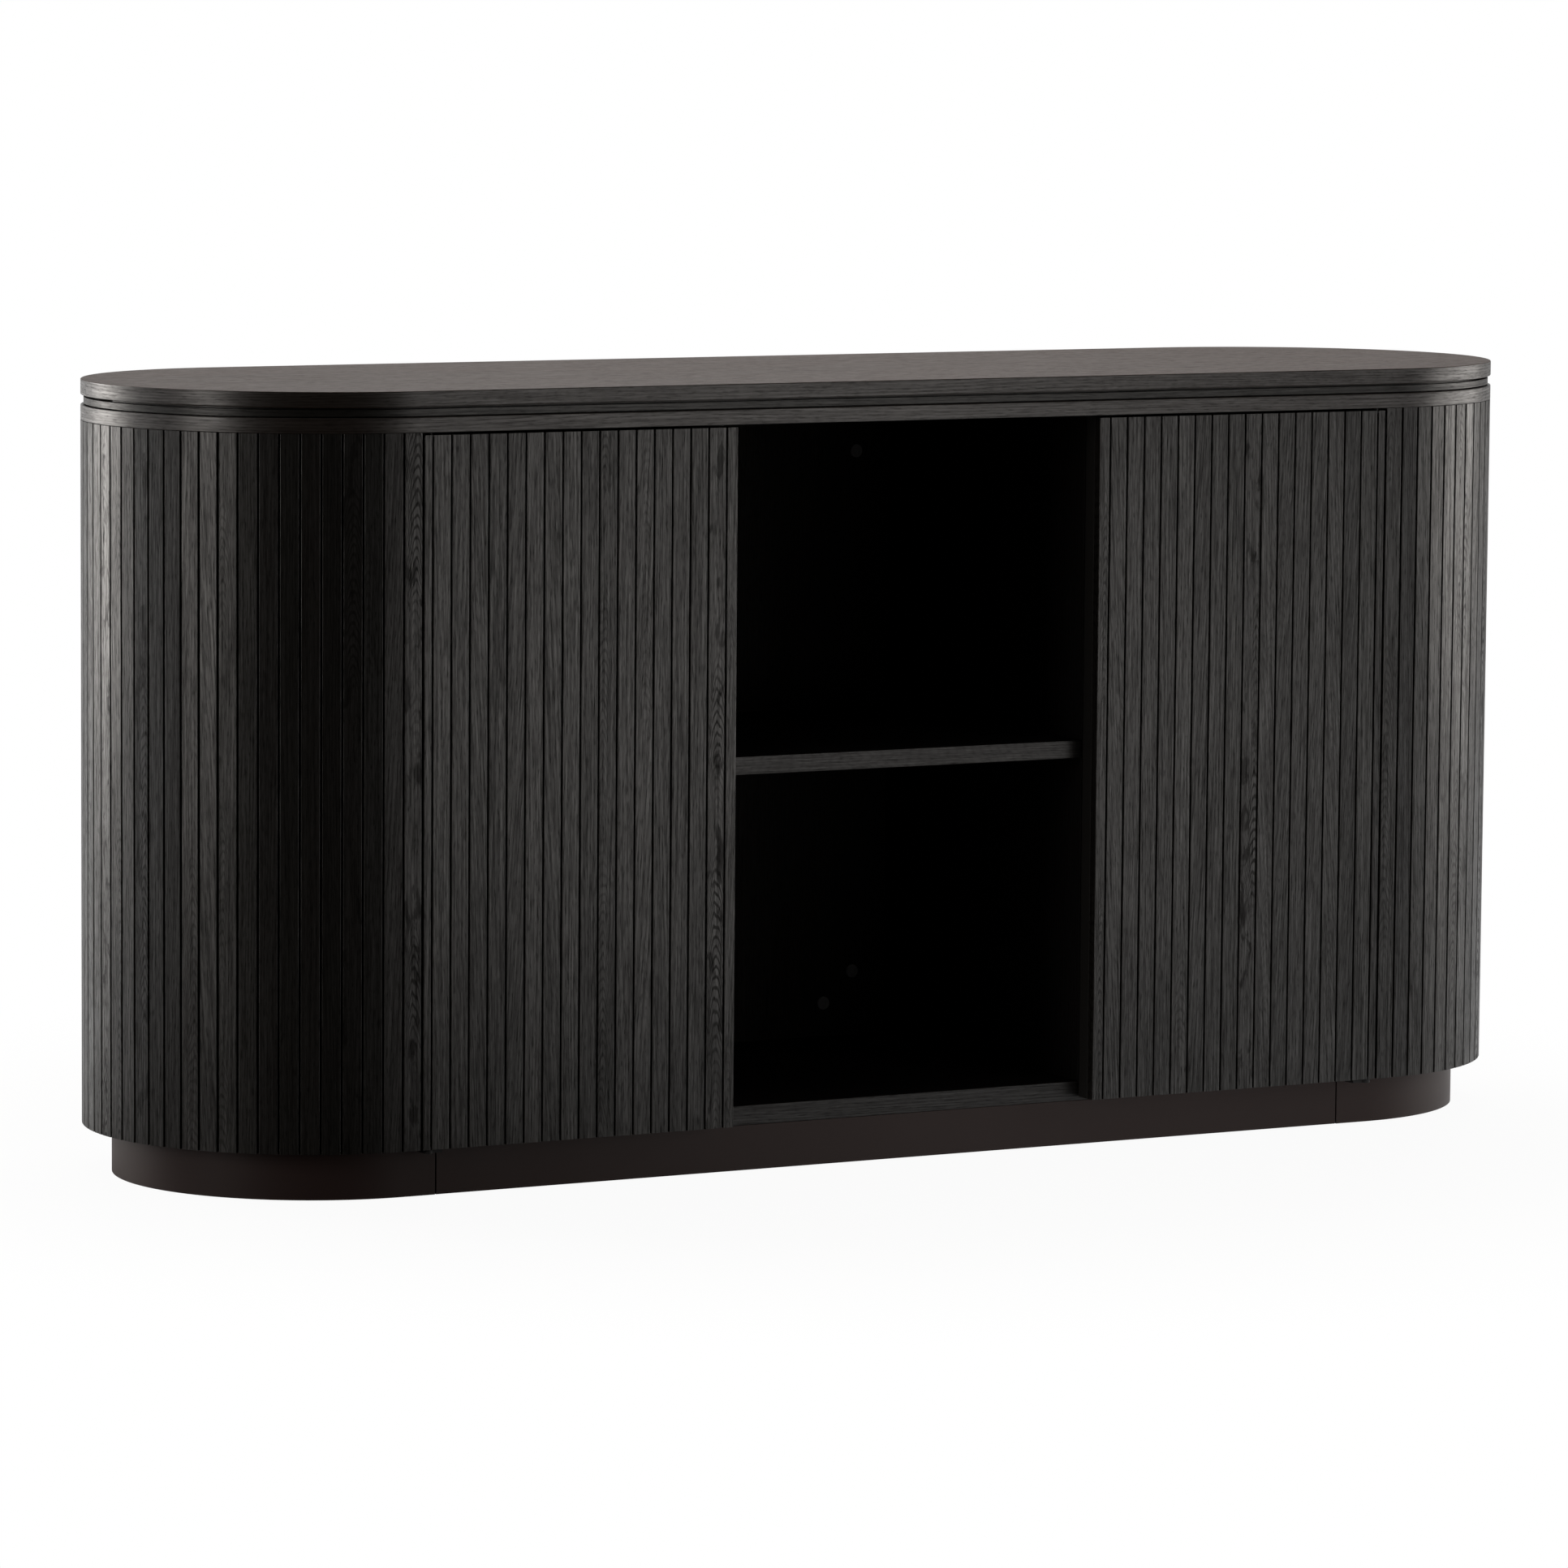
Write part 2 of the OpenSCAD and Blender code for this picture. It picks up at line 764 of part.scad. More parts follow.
side(1) color(zinc) door_leaf_screws();  // right_leaf_screws
side(-1) latch_housing();  // left_latch_housing
side(1) latch_housing();  // right_latch_housing
side(-1) latch_plunger();  // left_latch_plunger
side(1) latch_plunger();  // right_latch_plunger
side(-1) color(zinc) strike();  // left_latch_strike
side(1) color(zinc) strike();  // right_latch_strike
straight_plinth();  // front_plinth
mirror([0, 1, 0]) straight_plinth();  // back_plinth
side(-1) curved_plinth();  // left_plinth
side(1) curved_plinth();  // right_plinth
plinth_stretchers();
plinth_blocks();
glides();
top_screws();
carcass_screws();
back_screws();
plinth_screws();
hinge_screws();
dowels();
shelf_pins();
back_caps();
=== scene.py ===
"""Dresses the sideboard buffet: stained oak, fittings, studio and camera around its frame."""

import json
import math
import random

import bmesh
import bpy
from mathutils import Matrix, Vector


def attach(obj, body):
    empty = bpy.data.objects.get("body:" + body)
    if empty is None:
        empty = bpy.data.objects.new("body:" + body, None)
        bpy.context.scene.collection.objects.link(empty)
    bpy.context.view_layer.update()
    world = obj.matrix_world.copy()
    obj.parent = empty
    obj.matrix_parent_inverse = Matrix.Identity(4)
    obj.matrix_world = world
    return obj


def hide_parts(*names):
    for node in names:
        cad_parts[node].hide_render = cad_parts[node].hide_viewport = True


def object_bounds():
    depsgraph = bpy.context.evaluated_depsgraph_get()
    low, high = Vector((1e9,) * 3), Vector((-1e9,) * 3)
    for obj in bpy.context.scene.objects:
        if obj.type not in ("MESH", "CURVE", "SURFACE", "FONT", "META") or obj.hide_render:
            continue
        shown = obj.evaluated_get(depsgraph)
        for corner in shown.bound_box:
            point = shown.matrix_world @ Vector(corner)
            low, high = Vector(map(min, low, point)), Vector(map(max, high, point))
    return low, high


bl_info = {
    "name": "Sideboard Buffet Finish",
    "version": (1, 0, 0),
    "blender": (4, 5, 0),
    "location": "View3D > Sidebar > Sideboard",
    "description": "Gives the rounded, slatted sideboard its stained oak, fittings and studio",
    "category": "Object",
}

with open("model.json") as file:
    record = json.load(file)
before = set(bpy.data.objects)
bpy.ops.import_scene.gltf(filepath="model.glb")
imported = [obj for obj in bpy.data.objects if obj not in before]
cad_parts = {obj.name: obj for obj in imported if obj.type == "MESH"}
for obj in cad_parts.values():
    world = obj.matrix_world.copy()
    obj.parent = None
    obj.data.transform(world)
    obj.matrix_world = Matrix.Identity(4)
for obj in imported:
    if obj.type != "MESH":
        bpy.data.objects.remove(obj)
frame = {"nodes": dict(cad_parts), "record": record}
CAD_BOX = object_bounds()
NODES = frame["nodes"]
RECORD = frame["record"]
BODY_OF = {
    node: body for body, members in RECORD["behaviour"]["bodies"].items() for node in members
}
SIDES = ("left", "right")

# The plan is a racetrack: straight between the centres of its two round ends
END_RADIUS = CAD_BOX[1].y
END_CENTRE = CAD_BOX[1].x - END_RADIUS


# ---- shader graphs ----


class Wire:
    """One output socket. Arithmetic on it adds Math nodes."""

    def __init__(self, graph, socket):
        self.graph = graph
        self.socket = socket

    def maths(self, operation, *values):
        settings = {"operation": operation}
        return self.graph.node("ShaderNodeMath", settings, dict(enumerate(values)))

    def __add__(self, other):
        return self.maths("ADD", self, other)

    __radd__ = __add__

    def __sub__(self, other):
        return self.maths("SUBTRACT", self, other)

    def __rsub__(self, other):
        return self.maths("SUBTRACT", other, self)

    def __mul__(self, other):
        return self.maths("MULTIPLY", self, other)

    __rmul__ = __mul__

    def __abs__(self):
        return self.maths("ABSOLUTE", self)

    def sine(self):
        return self.maths("SINE", self)

    def most(self, other):
        return self.maths("MAXIMUM", self, other)

    def ramp(self, low, high, start=0.0, end=1.0):
        """Goes smoothly from start to end while this goes from low to high."""
        settings = {"interpolation_type": "SMOOTHSTEP"}
        limits = {"From Min": low, "From Max": high, "To Min": start, "To Max": end}
        return self.graph.node("ShaderNodeMapRange", settings, {"Value": self, **limits})


class Graph:
    """A node tree that is filled by calls."""

    def __init__(self, tree):
        self.tree = tree
        tree.nodes.clear()

    def node(self, kind, settings=None, inputs=None, output=0):
        """Adds a node, sets it, feeds its sockets, and returns one of its outputs."""
        made = self.tree.nodes.new(kind)
        for key, value in (settings or {}).items():
            setattr(made, key, value)
        for key, value in (inputs or {}).items():
            if isinstance(value, Wire):
                self.tree.links.new(value.socket, made.inputs[key])
            else:
                made.inputs[key].default_value = value
        return Wire(self, made.outputs[output]) if made.outputs else None

    def attribute(self, name, output="Fac"):
        return self.node("ShaderNodeAttribute", {"attribute_name": name}, None, output)

    def place(self, output="Object"):
        return self.node("ShaderNodeTexCoord", None, None, output)

    def axis(self, vector, number):
        """One of the three numbers of a vector."""
        return self.node("ShaderNodeSeparateXYZ", None, {0: vector}, number)

    def noise(self, vector, scale, detail=2.0, roughness=0.5, warp=0.0):
        """Noise with a scale of its own along each axis."""
        settings = {"operation": "MULTIPLY"}
        scaled = self.node("ShaderNodeVectorMath", settings, {0: vector, 1: scale})
        inputs = {"Scale": 1.0, "Detail": detail, "Roughness": roughness, "Distortion": warp}
        return self.node("ShaderNodeTexNoise", None, {"Vector": scaled, **inputs})

    def mix(self, factor, first, second, blend="MIX"):
        """Mixes two colours."""
        settings = {"data_type": "RGBA", "blend_type": blend}
        inputs = {0: factor, 6: first, 7: second}
        return self.node("ShaderNodeMix", settings, inputs, 2)

    def lit(self, colour, light):
        """A colour made lighter or darker by a number."""
        grey = self.node("ShaderNodeCombineColor", None, {0: light, 1: light, 2: light})
        return self.mix(1.0, colour, grey, "MULTIPLY")

    def bump(self, height, distance, strength, normal=None):
        inputs = {"Height": height, "Distance": distance, "Strength": strength}
        if normal:
            inputs["Normal"] = normal
        return self.node("ShaderNodeBump", None, inputs)

    def backdrop_rays(self, reflected):
        """1 on the rays that see the white backdrop; reflected ones see it only within a mask."""
        straight, clear, glossy = (
            self.node("ShaderNodeLightPath", None, None, f"Is {kind} Ray")
            for kind in ("Camera", "Transmission", "Glossy")
        )
        return straight.most(clear).most(glossy * reflected)

    def principled(self, inputs):
        self.surface(self.node("ShaderNodeBsdfPrincipled", None, inputs))

    def surface(self, shader):
        self.node("ShaderNodeOutputMaterial", None, {"Surface": shader})


def rgba(colour):
    return (*colour, 1.0)


WHITE = rgba((1, 1, 1))
BLACK = rgba((0, 0, 0))


def new_material(name):
    material = bpy.data.materials.new(name)
    material.use_nodes = True
    return material, Graph(material.node_tree)


# ---- finishes ----

# What every solid of a piece stores for itself: its lightness, its warmth, how strongly its grain
# is figured, and how far across a slat each corner lies, from -1 to 1
OWN_VALUES = ("tone", "hue", "figure", "rim")

# Noise: cycles per metre across, into and along the grain, then detail, roughness and warp where
# they aren't the usual ones
OAK_FIBRES = ((1150, 1150, 40), 2.0, 0.65)
OAK_STREAKS = ((420, 420, 9), 3.0, 0.6)
OAK_PATCHES = ((38, 38, 4), 2.0)
OAK_TICKS = ((760, 760, 90), 1.5, 0.6)
OAK_WANDER = ((60, 60, 7), 2.0, 0.55)
OAK_SWAY = ((24, 24, 1.8), 1.0)
OAK_FIGURED_LENGTHS = ((2, 2, 4.5), 0.0)
OAK_FLECKS = ((95, 95, 30), 3.0, 0.6, 0.4)
BOARD_FIBRES = ((900, 900, 16), 2.0, 0.5)
BOARD_CLOUD = ((24, 24, 5), 2.0)
BOARD_RUBBING = ((9, 9, 3), 3.0, 0.6, 0.4)
FITTING_RUBBING = ((140, 140, 140), 3.0, 0.6, 0.5)
PAPER_CLOUD = ((1.5, 1.5, 1.5), 2.0)

# Where each noise or wave starts to make its mark, and where the mark is whole
LINE_CREST = (-0.3, 1.0)
ARCH_CREST = (0.0, 1.0)
FIGURED_LENGTH = (0.42, 0.60)
FLECK = (0.54, 0.63)
FLECKED_FIGURE = (0.65, 0.9)
PORE_TICK = (0.50, 0.66)
PORE_FIBRE = (0.44, 0.60)
# Lighter slat edges: partly wear, partly a painted highlight beside the grooves
WORN_AND_LIT_EDGE = (0.80, 1.0)
WARM_STAIN = (0.25, 0.95)
LACQUERED_THREAD = (0.3, 0.7)

# Growth rings, in rings: how far straight ones sway, how far arches waver, and how far an arch
# drops from its tip to its foot
LINE_SWAY = 9
ARCH_WAVER = 5
ARCH_DROP = 3.2
# How widely the peaks of the arches are spread across the strips, in half widths
ARCH_SPREAD = 1.6
# How strong straight rings are beside arches
LINE_STRENGTH = 0.6

# How much of the light rings and flecks take from the stain
RING_SHADE = 0.15
FLECK_SHADE = 0.3
# How much of the lacquer rings, the same rings where they are figured, pores and flecks keep off
RING_LOSS = 0.35
FIGURED_LOSS = 0.25
PORE_LOSS = 1.2
FLECK_LOSS = 0.6

# Rounding that the edges of fittings show in the light
FITTING_EDGE = 0.0004

# What each oak finish is made with. Counts are rings per metre, and cool and warm are the stain's
# two ends. Sheen is the bare stain's gloss, and lacquer, roughness and contrast are the coat's
# weight, its own roughness and how far the grain breaks it up
SLATS = {
    "ring_count": 260,
    "arch_count": 90,
    "tone_range": 0.36,
    "pore_depth": 0.55,
    # How much lighter the slat edges are: wear and a painted highlight
    "edge_wear_and_highlight": 0.5,
    "cool": (0.98, 1.00, 0.97),
    "warm": (1.05, 0.98, 1.03),
    "relief": 0.00032,
    "relief_strength": 1.0,
    "sheen": 0.03,
    "roughness": 0.34,
    "lacquer": 0.60,
    "contrast": 0.80,
}
BAND = SLATS | {
    "tone_range": 0.4,
    "pore_depth": 0.40,
    "edge_wear_and_highlight": 0.0,
    "relief": 0.00014,
    "lacquer": 0.74,
    "contrast": 0.45,
}
LIPPING = BAND | {"lacquer": 0.45}
INNER = SLATS | {"edge_wear_and_highlight": 0.0, "roughness": 0.6, "lacquer": 0.03}
TOP = SLATS | {
    "ring_count": 130,
    "arch_count": 12,
    "tone_range": 0.2,
    "edge_wear_and_highlight": 0.0,
    "cool": (0.95, 1.00, 0.99),
    "warm": (1.08, 0.97, 0.95),
    "relief": 0.00018,
    "relief_strength": 0.8,
    "sheen": 0.078,
    "roughness": 0.40,
    "lacquer": 0.145,
    "contrast": 0.85,
}


def stained_oak(name, colour, recipe):
    """Open-grained oak under a dark stain, made from the values that its piece stores."""
    material, g = new_material(name)
    grain = g.attribute("grain", "Vector")
    tone, hue, figure, rim = (g.attribute(key) for key in OWN_VALUES)
    across, along = g.axis(grain, 0), g.axis(grain, 2)

    fibres = g.noise(grain, *OAK_FIBRES)
    streaks = g.noise(grain, *OAK_STREAKS)
    patches = g.noise(grain, *OAK_PATCHES)
    ticks = g.noise(grain, *OAK_TICKS)

    # Growth rings: straight lines, and nested arches over the figured lengths
    wander = g.noise(grain, *OAK_WANDER)
    sway = g.noise(grain, *OAK_SWAY)
    lines = ((across * recipe["ring_count"] + sway * LINE_SWAY) * math.tau).sine()
    lines = lines.ramp(*LINE_CREST)
    off_heart = rim - (hue - 0.5) * ARCH_SPREAD
    arches = off_heart * off_heart * ARCH_DROP + along * recipe["arch_count"]
    arches = ((arches + wander * ARCH_WAVER) * math.tau).sine().ramp(*ARCH_CREST)
    figured = figure * g.noise(grain, *OAK_FIGURED_LENGTHS).ramp(*FIGURED_LENGTH)
    rings = lines * (1 - figured) * LINE_STRENGTH + arches * figured
    flecks = g.noise(grain, *OAK_FLECKS).ramp(*FLECK) * figure.ramp(*FLECKED_FIGURE)
    pores = ticks.ramp(*PORE_TICK) * (0.45 + 0.55 * rings)
    pores = pores.most(rings * fibres.ramp(*PORE_FIBRE) * (0.20 + 0.60 * figured))

    # The stain lies dark in rings, pores and flecks, and lighter along the slats' edges, partly as
    # wear and partly as a painted highlight beside the grooves
    light = 0.66 + tone * recipe["tone_range"]
    light = light * (0.45 + 0.55 * streaks + 0.70 * fibres)
    light = light * (1 - rings * RING_SHADE) * (1 - pores * recipe["pore_depth"])
    light = light * (1 - FLECK_SHADE * flecks) * (0.82 + 0.36 * patches)
    edge = abs(rim).ramp(*WORN_AND_LIT_EDGE) * recipe["edge_wear_and_highlight"]
    light = light * (1 + edge * streaks)

    cool = [c * t for c, t in zip(colour, recipe["cool"])]
    warm = [c * t for c, t in zip(colour, recipe["warm"])]
    stain = g.mix((hue * 0.7 + patches * 0.6).ramp(*WARM_STAIN), rgba(cool), rgba(warm))

    # The lacquer fills the fibres and leaves rings, pores and flecks open
    lacquer = recipe["lacquer"] * (1 + recipe["tone_range"] * 0.7 * (tone - 0.5))
    threads = 0.55 * fibres.ramp(*LACQUERED_THREAD)
    threads = threads + 0.45 * streaks.ramp(*LACQUERED_THREAD) - 0.5
    lacquer = lacquer * (1.05 + 2 * recipe["contrast"] * threads)
    lacquer = lacquer * (1 - PORE_LOSS * recipe["pore_depth"] * pores) * (1 - FLECK_LOSS * flecks)
    lacquer = lacquer * (1 - rings * (RING_LOSS + FIGURED_LOSS * figured))

    # Fibres stand proud, and pores and rings lie open
    relief = fibres * 0.7 + streaks * 0.5 - pores * 0.9 - rings * 0.15
    g.principled({
        "Base Color": g.lit(stain, light),
        "Roughness": 0.55 + 0.25 * pores + 0.2 * (0.5 - fibres),
        "Specular IOR Level": recipe["sheen"],
        "Coat Weight": lacquer,
        "Coat Roughness": recipe["roughness"],
        "Normal": g.bump(relief, recipe["relief"], recipe["relief_strength"]),
    })
    return material


def smooth_board(name, colour, roughness, sheen):
    """Dark, even board with only a trace of grain, for the plinth and the backing boards."""
    material, g = new_material(name)
    grain = g.attribute("grain", "Vector")
    tone = g.attribute("tone")
    fibres = g.noise(grain, *BOARD_FIBRES)
    cloud = g.noise(grain, *BOARD_CLOUD)
    rubbed = g.noise(grain, *BOARD_RUBBING)
    g.principled({
        "Base Color": g.lit(rgba(colour), 0.78 + 0.16 * tone + 0.16 * fibres + 0.20 * cloud),
        "Roughness": roughness + 0.16 * (rubbed - 0.5),
        "Specular IOR Level": sheen,
        "Normal": g.bump(fibres + 0.4 * cloud, distance=0.00006, strength=0.25),
    })
    return material


def fitting(name, colour, roughness, speckle, metallic=0.0, sheen=0.5):
    """Metal, moulded plastic or bare wood: fine speckle, rubbed patches and rounded edges."""
    material, g = new_material(name)
    here = g.place()
    fine = g.noise(here, (speckle,) * 3, 2.0, 0.6)
    rubbed = g.noise(here, *FITTING_RUBBING)
    rounded = g.node("ShaderNodeBevel", {"samples": 4}, {"Radius": FITTING_EDGE})
    g.principled({
        "Base Color": g.lit(rgba(colour), 0.82 + 0.20 * fine + 0.18 * rubbed),
        "Metallic": metallic,
        "Roughness": roughness + 0.20 * (rubbed - 0.5),
        "Specular IOR Level": sheen,
        "Normal": g.bump(fine, distance=0.00005, strength=0.35, normal=rounded),
    })
    return material


# ---- pieces ----

# Corners nearer than this are one corner, and faces flatter than this, in degrees, one face
MERGE = 2e-5
FLAT_ANGLE = 0.5
# Edges sharper than this, in degrees, stay sharp when shaded
SHARP_ANGLE = 32
# How much of a face's normal points up or down where the face is level, ahead where it is a front
# one, and along the length where a side one is on a round end
LEVEL = 0.7
AHEAD = 0.9
ROUND_END = 0.01

# Which edges are eased: the shortest length, and the least and greatest angle in degrees
BOARD_EDGES = (0.06, 60, 150)
SLAT_CHAMFERS = (0.3, 25, 65)

# How strips are drawn: plain ones below this chance, how fast the figure of the rest grows with
# it, and how much of its figure a whole board keeps
PLAIN_CHANCE = 0.62
FIGURE_GAIN = 2.2
BOARD_FIGURE = 0.25
# Lean of the grain, as a slope: the most in a common strip, and the range in a slanting one
COMMON_LEAN = 0.006
SLANTING_CHANCES = (0.5, 0.7)
SLANTING_LEAN = (0.02, 0.06)
# How far apart strips may start in the wood, in metres each way
WOOD_SIZE = 3

# Another batch of strips gives a run other tones and figure
BATCHES = {
    "left_end_slats": 1019,
    "left_door_slats": 228,
    "right_end_slats": 3022,
    "right_door_slats": 2713,
}


def islands(bm):
    """The separate solids of a mesh, each as a list of its faces."""
    left, found = set(bm.faces), []
    for face in bm.faces:
        if face not in left:
            continue
        left.discard(face)
        solid, reach = [], [face]
        while reach:
            here = reach.pop()
            solid.append(here)
            for edge in here.edges:
                for near in edge.link_faces:
                    if near in left:
                        left.discard(near)
                        reach.append(near)
        found.append(solid)
    return found


def is_level(normal):
    return abs(normal.z) > LEVEL


def outline_place(co, normal):
    """How far along the racetrack outline a point lies, and how deep in from the centre line."""
    past = abs(co.x) - END_CENTRE
    if past > -MERGE and abs(normal.x) > ROUND_END:
        angle = math.atan2(max(past, 0), -co.y)
        along = END_CENTRE + END_RADIUS * angle
        return math.copysign(along, co.x), math.hypot(past, co.y)
    if abs(normal.x) > abs(normal.y):
        return co.y, co.x
    return co.x, abs(co.y)


def level_grain(co, normal):
    """Grain that runs along the length, and round the outline on the edges."""
    if is_level(normal):
        return Vector((co.y, co.z, co.x))
    along, deep = outline_place(co, normal)
    return Vector((co.z, deep, along))


def upright_grain(co, normal):
    """Grain that runs from the floor up."""
    if is_level(normal):
        return Vector((co.x, co.y, co.z))
    along, deep = outline_place(co, normal)
    return Vector((along, deep, co.z))


def slat_grain(centre):
    """Grain that runs up one slat, measured across its own face."""
    past = max(0, abs(centre.x) - END_CENTRE)
    outward = Vector((math.copysign(past, centre.x), centre.y, 0)).normalized()
    across = Vector((-outward.y, outward.x, 0))
    return lambda co, normal: Vector(((co - centre) @ across, (co - centre) @ outward, co.z))


def merged_copy(node):
    """The node's mesh with its split vertices joined and its flat faces whole."""
    bm = bmesh.new()
    bm.from_mesh(NODES[node].data)
    bmesh.ops.remove_doubles(bm, verts=bm.verts, dist=MERGE)
    flat = math.radians(FLAT_ANGLE)
    bmesh.ops.dissolve_limit(bm, angle_limit=flat, verts=bm.verts, edges=bm.edges)
    return bm


def ease(bm, radius, shortest, least, most):
    """Rounds the edges of a given length and angle."""
    sharp = [
        edge
        for edge in bm.edges
        if len(edge.link_faces) == 2
        and edge.calc_length() > shortest
        and math.radians(least) < edge.calc_face_angle(0) < math.radians(most)
    ]
    bmesh.ops.bevel(
        bm,
        geom=sharp,
        offset=radius,
        offset_type="OFFSET",
        segments=2,
        profile=0.5,
        affect="EDGES",
        clamp_overlap=True,
    )


def store_grain(bm, grain_of, seed):
    """Keeps each corner's place in the wood, and each solid's own values.

    With no grain_of, each solid is a slat of its own.
    """
    pick = random.Random(seed)
    grain = bm.loops.layers.float_vector.new("grain")
    own = {key: bm.loops.layers.float.new(key) for key in OWN_VALUES}
    for solid in islands(bm):
        corners = {vert.co.copy().freeze() for face in solid for vert in face.verts}
        place_of = grain_of or slat_grain(sum(corners, Vector()) / len(corners))
        places = {
            loop: place_of(loop.vert.co, face.normal) for face in solid for loop in face.loops
        }
        tone, hue, chance = pick.random(), pick.random(), pick.random()
        figure = 0.0 if chance < PLAIN_CHANCE else min(1.0, (chance - 0.5) * FIGURE_GAIN)
        lean = pick.uniform(-COMMON_LEAN, COMMON_LEAN)
        if SLANTING_CHANCES[0] < chance < SLANTING_CHANCES[1]:
            lean = pick.choice((-1, 1)) * pick.uniform(*SLANTING_LEAN)
        start = Vector([pick.uniform(0, WOOD_SIZE) for _ in range(3)])
        if grain_of:
            figure *= BOARD_FIGURE
        else:
            across = [place.x for place in places.values()]
            middle, half = (min(across) + max(across)) / 2, (max(across) - min(across)) / 2
            for loop, place in places.items():
                loop[own["rim"]] = (place.x - middle) / half
                place.x += lean * place.z
        for loop, place in places.items():
            loop[grain] = place + start
            loop[own["tone"]] = tone
            loop[own["hue"]] = hue
            loop[own["figure"]] = figure


def finish_piece(bm, node, piece_name, material):
    """Turns a mesh into the piece that is shown for a node."""
    mesh = bpy.data.meshes.new(piece_name)
    bmesh.ops.recalc_face_normals(bm, faces=bm.faces)
    for face in bm.faces:
        face.smooth = True
    bm.to_mesh(mesh)
    bm.free()
    mesh.set_sharp_from_angle(angle=math.radians(SHARP_ANGLE))
    mesh.materials.append(material)
    piece = bpy.data.objects.new(piece_name, mesh)
    bpy.context.scene.collection.objects.link(piece)
    even = piece.modifiers.new("even_shading", "WEIGHTED_NORMAL")
    even.keep_sharp = True
    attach(piece, BODY_OF[node])
    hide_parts(node)
    return piece


def oak_board(node, grain_of, material, radius=0.0):
    """A node's boards, with their grain stored and their long arrises eased."""
    bm = merged_copy(node)
    if radius:
        ease(bm, radius, *BOARD_EDGES)
    bm.normal_update()
    store_grain(bm, grain_of, node)
    return finish_piece(bm, node, node + "_oak", material)


def lipped(piece, material, on_lipping):
    """Gives some of a board's faces the lipping of the outside."""
    piece.data.materials.append(material)
    for face in piece.data.polygons:
        face.material_index = int(on_lipping(face.normal))


def looks_ahead(normal):
    return normal.y < -AHEAD


def looks_outward(normal):
    return not is_level(normal)


def slat_run(node, batch, material, radius):
    """A run of slats, each cut from its own strip of one batch of oak."""
    bm = merged_copy(node)
    ease(bm, radius, *SLAT_CHAMFERS)
    bm.normal_update()
    store_grain(bm, None, f"{node}_{batch}")
    finish_piece(bm, node, node + "_oak", material)


def paint(node, material):
    """Gives a fitting that is shown as built its finish."""
    slots = NODES[node].data.materials
    slots.clear()
    slots.append(material)


# ---- screws ----

# A screw is turned in this many sides. Its head is broken at the edge and its shank ends in a
# point, and both are given as shares of the head's or the shank's radius
SCREW_SIDES = 32
HEAD_FACE = 0.96
HEAD_BREAK = 0.05
POINT_LENGTH = 2.2
POINT_RADIUS = 0.12
# The cross recess at its mouth and its floor: reach, half width and depth, as shares of the head
CROSS = ((0.60, 0.15, 0.0), (0.42, 0.11, 0.42))
# Corners this near the head's radius, or within this much of the shank's, belong to it
HEAD_SHARE = 0.98
SHANK_SHARE = 1.1


def ring_edges(corners):
    """Each corner of a closed ring with the next one."""
    return list(zip(corners, corners[1:] + corners[:1]))


def join_rings(bm, upper, lower):
    """A band of faces between two closed rings."""
    for (a, b), (c, d) in zip(ring_edges(upper), ring_edges(lower)):
        bm.faces.new((a, b, d, c))


def screw_mesh(bm, head_radius, head_depth, shank_radius, length, place):
    """One countersunk screw, with a cross recess in its head and a point at its far end."""
    profile = (
        (head_radius * HEAD_FACE, 0.0),
        (head_radius, head_radius * HEAD_BREAK),
        (shank_radius, head_depth),
        (shank_radius, length - POINT_LENGTH * shank_radius),
        (shank_radius * POINT_RADIUS, length),
    )
    rings = []
    for radius, deep in profile:
        ring = []
        for side in range(SCREW_SIDES):
            angle = math.tau * side / SCREW_SIDES
            at = Vector((radius * math.cos(angle), radius * math.sin(angle), deep))
            ring.append(bm.verts.new(place @ at))
        rings.append(ring)
    for upper, lower in zip(rings, rings[1:]):
        join_rings(bm, upper, lower)
    bm.faces.new(rings[-1])

    cross = []
    for shares in CROSS:
        reach, wide, deep = (share * head_radius for share in shares)
        corners = []
        for turn in range(4):
            about = Matrix.Rotation(math.tau * turn / 4, 4, "Z")
            for at in ((reach, -wide), (reach, wide), (wide, wide)):
                corners.append(bm.verts.new(place @ (about @ Vector((*at, deep)))))
        cross.append(corners)
    join_rings(bm, *cross)
    bm.faces.new(cross[1])
    rim = [bm.edges.get(pair) for pair in ring_edges(rings[0]) + ring_edges(cross[0])]
    bmesh.ops.triangle_fill(bm, use_beauty=True, edges=rim)


def screw_set(node, material):
    """The screws of a node, each where the frame has it, with its recess and point."""
    bm = merged_copy(node)
    made = bmesh.new()
    for solid in islands(bm):
        points = [vert.co for face in solid for vert in face.verts]
        low = Vector([min(co[i] for co in points) for i in range(3)])
        high = Vector([max(co[i] for co in points) for i in range(3)])
        size = high - low
        axis = max(range(3), key=lambda i: size[i])
        centre = (low + high) / 2
        head_radius = max(size[i] for i in range(3) if i != axis) / 2

        def off_axis(co):
            return math.hypot(*(co[i] - centre[i] for i in range(3) if i != axis))

        widest = [co[axis] for co in points if off_axis(co) > HEAD_SHARE * head_radius]
        head = sum(widest) / len(widest)
        way = 1 if head < centre[axis] else -1
        shank = max(off_axis(co) for co in points if (co[axis] - centre[axis]) * way > 0)
        taper = min(
            abs(co[axis] - head)
            for co in points
            if off_axis(co) < SHANK_SHARE * shank and abs(co[axis] - head) > MERGE
        )
        along = Vector([way if i == axis else 0 for i in range(3)])
        start = centre.copy()
        start[axis] = head
        place = Matrix.Translation(start) @ along.to_track_quat("Z", "Y").to_matrix().to_4x4()
        screw_mesh(made, head_radius, taper, shank, size[axis], place)
    bm.free()
    finish_piece(made, node, node + "_cross", material)


# ---- studio ----

ROOM_TINT = (1.0, 0.96, 0.925)
LAMP_TINT = (1.0, 0.95, 0.90)

